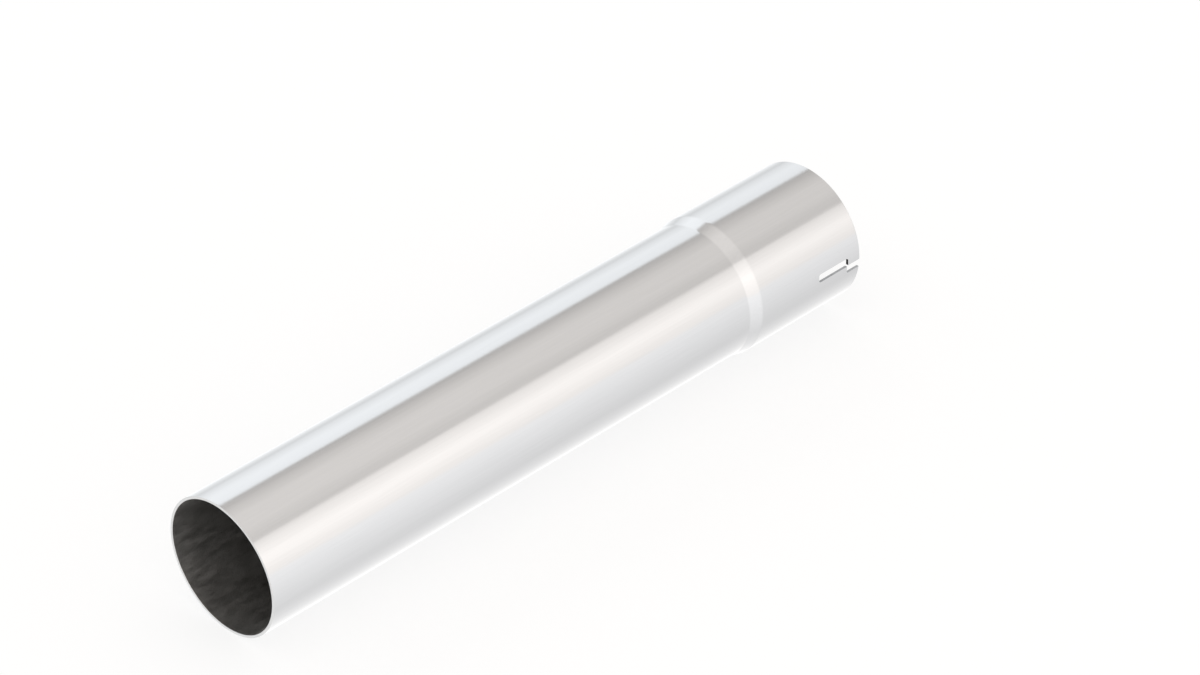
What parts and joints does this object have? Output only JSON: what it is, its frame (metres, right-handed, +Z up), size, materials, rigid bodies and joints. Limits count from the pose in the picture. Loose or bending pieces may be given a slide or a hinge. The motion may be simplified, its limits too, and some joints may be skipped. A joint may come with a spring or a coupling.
{
  "type": "exhaust connection pipe",
  "caption": "Straight steel exhaust connection pipe with one plain end and one end widened into a slotted slip-on socket.",
  "frame": {"origin": "centre of the plain end's cut face", "axes": "+X along the pipe towards the socket, +Z up, the pipe lying on its side with its slots level with the axis"},
  "size_m": [0.3792, 0.0728, 0.0728],
  "materials": {
    "stainless_tube": "bright mill-finish stainless tube with a fine drawn grain"
  },
  "bodies": {
    "root": {"pipe": "stainless_tube"}
  },
  "joints": []
}
